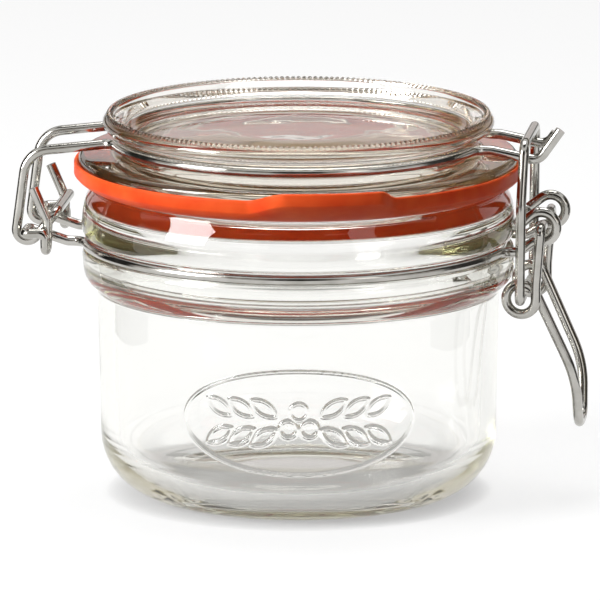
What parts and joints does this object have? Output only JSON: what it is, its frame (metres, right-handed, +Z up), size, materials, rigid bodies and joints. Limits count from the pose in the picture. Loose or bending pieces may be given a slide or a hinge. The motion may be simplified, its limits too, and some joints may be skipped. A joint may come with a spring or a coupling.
{
  "type": "clip-top jar",
  "caption": "Wide, low glass storage jar with a hinged glass lid, a rubber sealing ring with a pull tab, and a bent-wire clip that pulls the lid shut.",
  "frame": {"origin": "centre of the foot ring, on the surface the jar stands on", "axes": "+Z up along the jar's axis, +X towards the clip, -X towards the hinge, -Y towards the viewer and the seal's pull tab"},
  "size_m": [0.1142, 0.0941, 0.0773],
  "materials": {
    "body_glass": "clear pressed soda-lime glass, fire polished",
    "lid_glass": "clear pressed soda-lime glass with a slightly warm tint",
    "orange_rubber": "smooth moulded orange rubber, semi-matt",
    "steel_wire": "drawn steel wire, bright nickel plated"
  },
  "bodies": {
    "jar": {"jar_glass": "body_glass", "neck_wire": "steel_wire"},
    "lid": {"lid_glass": "lid_glass", "seal": "orange_rubber", "lid_wire": "steel_wire"},
    "lever": {"lever": "steel_wire"},
    "link": {"link": "steel_wire"}
  },
  "joints": [
    {"name": "lid_hinge", "type": "hinge", "parent": "jar", "child": "lid", "pos_m": [-0.0532, 0, 0.0539], "axis": [0, -1, 0], "range_deg": [0, 105]},
    {"name": "lever_pivot", "type": "hinge", "parent": "jar", "child": "lever", "pos_m": [0.0497, 0, 0.0566], "axis": [0, -1, 0], "range_deg": [0, 110]},
    {"name": "link_pivot", "type": "hinge", "parent": "lever", "child": "link", "pos_m": [0.0458, 0, 0.0422], "axis": [0, -1, 0], "range_deg": [-66, 0]}
  ],
  "couplings": [
    {"joint": "link_pivot", "follows": "lever_pivot", "ratio": -0.58}
  ]
}
